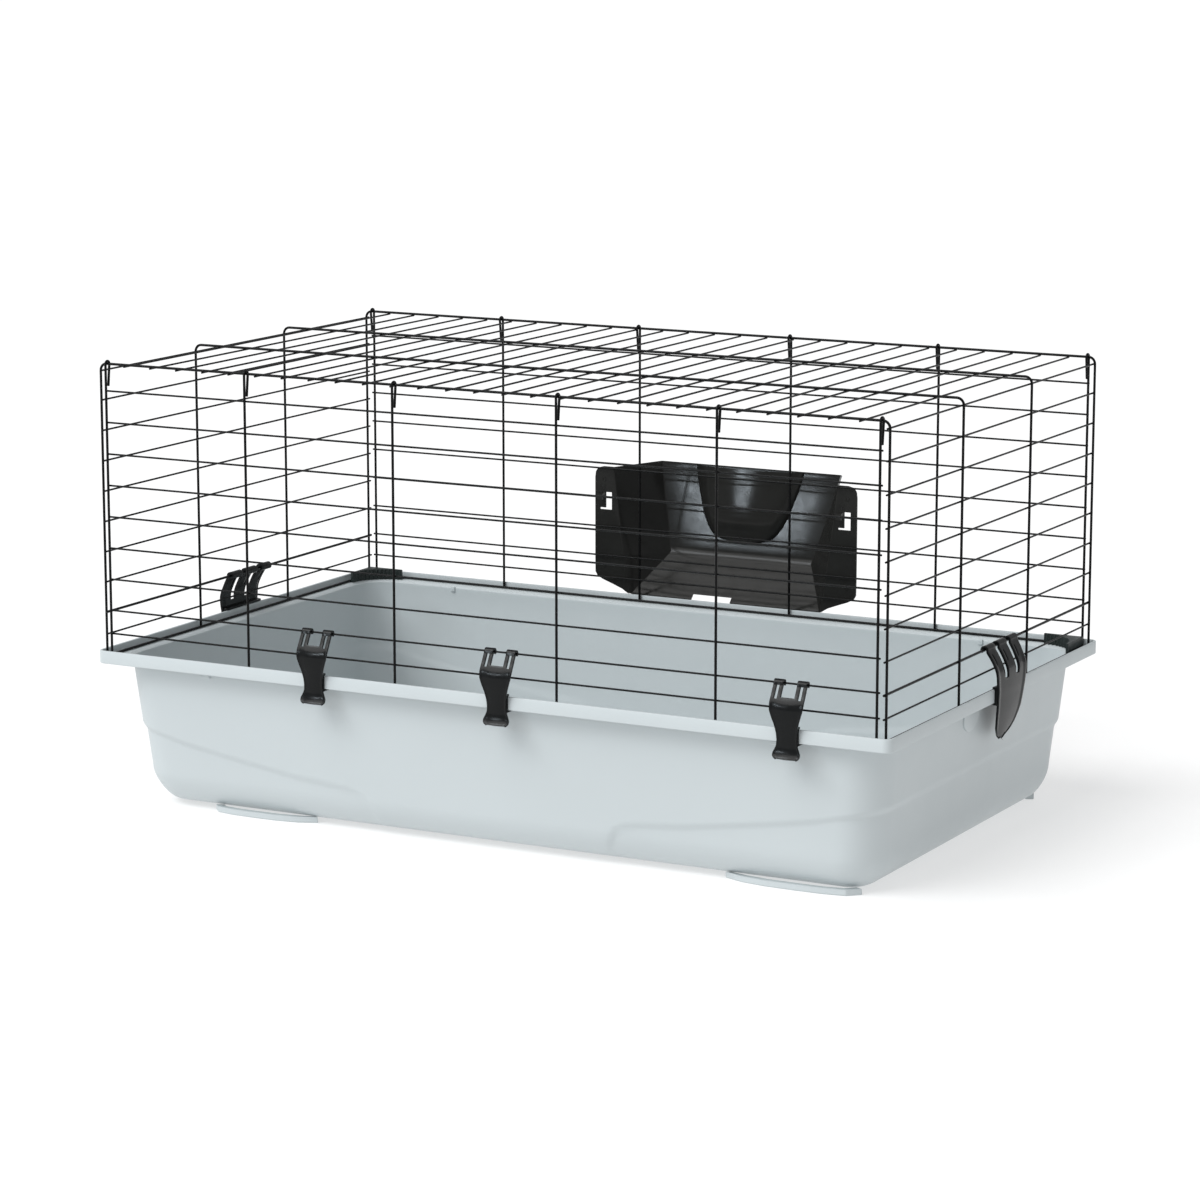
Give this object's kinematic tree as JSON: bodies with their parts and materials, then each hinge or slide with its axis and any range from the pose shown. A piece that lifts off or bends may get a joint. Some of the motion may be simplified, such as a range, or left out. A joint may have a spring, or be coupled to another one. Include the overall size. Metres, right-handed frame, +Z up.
{
  "type": "wire rabbit cage",
  "caption": "Wire cage for rabbits and other small animals: a deep plastic tray, a bent wire hood, hooked front and back panels, snap clips and a hanging hay rack.",
  "frame": {"origin": "on the floor, below the middle of the whole cage with its hay rack", "axes": "+X along the cage's length, -Y its front, +Z up"},
  "size_m": [1.0124, 0.6817, 0.5237],
  "materials": {
    "tray": "smooth satin light grey",
    "tray_floor": "smooth satin light grey",
    "corner_piece_back_left": "satin green-black",
    "corner_piece_back_right": "satin green-black",
    "hood_top_panel": "glossy black powder coat",
    "hood_left_end": "glossy black powder coat",
    "hood_right_end": "glossy black powder coat",
    "front_panel": "glossy black powder coat",
    "back_panel": "glossy black powder coat",
    "front_clip_left": "glossy black",
    "front_clip_middle": "glossy black",
    "front_clip_right": "glossy black",
    "left_end_clip": "glossy black",
    "right_end_clip": "glossy black",
    "hay_rack": "glossy smoky dark grey"
  },
  "bodies": {
    "tray": {"tray": "tray", "tray_floor": "tray_floor", "corner_piece_back_left": "corner_piece_back_left", "corner_piece_back_right": "corner_piece_back_right"},
    "hood": {"hood_top_panel": "hood_top_panel", "hood_left_end": "hood_left_end", "hood_right_end": "hood_right_end"},
    "front_panel": {"front_panel": "front_panel"},
    "back_panel": {"back_panel": "back_panel"},
    "front_clip_left": {"front_clip_left": "front_clip_left"},
    "front_clip_middle": {"front_clip_middle": "front_clip_middle"},
    "front_clip_right": {"front_clip_right": "front_clip_right"},
    "left_end_clip": {"left_end_clip": "left_end_clip"},
    "right_end_clip": {"right_end_clip": "right_end_clip"},
    "hay_rack": {"hay_rack": "hay_rack"}
  },
  "joints": [
    {"name": "hood_lift", "type": "slide", "parent": "tray", "child": "hood", "axis": [0, 0, 1], "range_m": [0, 0.4]},
    {"name": "front_panel_swing", "type": "hinge", "parent": "hood", "child": "front_panel", "pos_m": [0, -0.3228, 0.519], "axis": [-1, 0, 0], "range_deg": [0, 180]},
    {"name": "back_panel_swing", "type": "hinge", "parent": "hood", "child": "back_panel", "pos_m": [0, 0.2592, 0.519], "axis": [1, 0, 0], "range_deg": [0, 180]},
    {"name": "front_clip_left_swing", "type": "hinge", "parent": "front_panel", "child": "front_clip_left", "pos_m": [-0.203, -0.3246, 0.2332], "axis": [-1, 0, 0], "range_deg": [0, 110]},
    {"name": "front_clip_middle_swing", "type": "hinge", "parent": "front_panel", "child": "front_clip_middle", "pos_m": [0.0325, -0.3246, 0.2332], "axis": [-1, 0, 0], "range_deg": [0, 110]},
    {"name": "front_clip_right_swing", "type": "hinge", "parent": "front_panel", "child": "front_clip_right", "pos_m": [0.383, -0.3246, 0.2332], "axis": [-1, 0, 0], "range_deg": [0, 110]},
    {"name": "left_end_clip_swing", "type": "hinge", "parent": "hood", "child": "left_end_clip", "pos_m": [-0.4892, -0.0238, 0.2308], "axis": [0, 1, 0], "range_deg": [0, 110]},
    {"name": "right_end_clip_swing", "type": "hinge", "parent": "hood", "child": "right_end_clip", "pos_m": [0.4892, -0.0118, 0.2308], "axis": [0, -1, 0], "range_deg": [0, 110]},
    {"name": "rack_lift", "type": "slide", "parent": "back_panel", "child": "hay_rack", "axis": [0, 0, 1], "range_m": [0, 0.012]}
  ]
}
